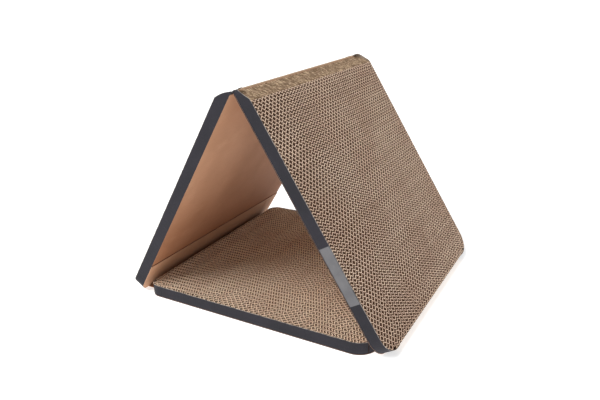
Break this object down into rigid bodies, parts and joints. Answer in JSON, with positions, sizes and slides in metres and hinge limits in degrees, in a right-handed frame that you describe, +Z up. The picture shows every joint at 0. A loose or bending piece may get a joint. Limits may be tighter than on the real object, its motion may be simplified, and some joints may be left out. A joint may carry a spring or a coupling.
{
  "type": "folding cardboard cat scratcher",
  "caption": "Folding cardboard cat scratcher: hinged panels of corrugated board with rounded, paper-banded edges, stood up as a triangular tunnel.",
  "frame": {"origin": "on the floor, under the middle of the tunnel", "axes": "+X across the tunnel, from the creased foot to the free foot; +Y along the tunnel; +Z up"},
  "size_m": [0.3424, 0.29, 0.2626],
  "materials": {
    "fluted_board": "matte",
    "edge_flutes": "matte",
    "kraft_sheet": "matte",
    "printed_band": "satin",
    "label_paper": "satin"
  },
  "bodies": {
    "base": {"base_core": "fluted_board", "base_hinge_ply": "edge_flutes", "base_free_ply": "edge_flutes", "base_kraft": "kraft_sheet", "base_near_band": "printed_band", "base_far_band": "printed_band"},
    "gusset": {"gusset_strip": "kraft_sheet"},
    "left_panel": {"left_core": "fluted_board", "left_foot_ply": "edge_flutes", "left_top_ply": "edge_flutes", "left_kraft": "kraft_sheet", "left_near_band": "printed_band", "left_far_band": "printed_band", "glued_flap": "kraft_sheet"},
    "right_panel": {"right_core": "fluted_board", "right_foot_ply": "edge_flutes", "right_top_ply": "edge_flutes", "right_kraft": "kraft_sheet", "right_near_band": "printed_band", "right_far_band": "printed_band", "band_label": "label_paper"}
  },
  "joints": [
    {"name": "base_crease", "type": "hinge", "parent": "base", "child": "gusset", "pos_m": [-0.1437, 0, 0], "axis": [0, -1, 0], "range_deg": [0, 90]},
    {"name": "foot_crease", "type": "hinge", "parent": "gusset", "child": "left_panel", "pos_m": [-0.159, 0, 0], "axis": [0, -1, 0], "range_deg": [0, 211]},
    {"name": "top_crease", "type": "hinge", "parent": "left_panel", "child": "right_panel", "pos_m": [0, 0, 0.26028], "axis": [0, -1, 0], "range_deg": [0, 117]}
  ]
}
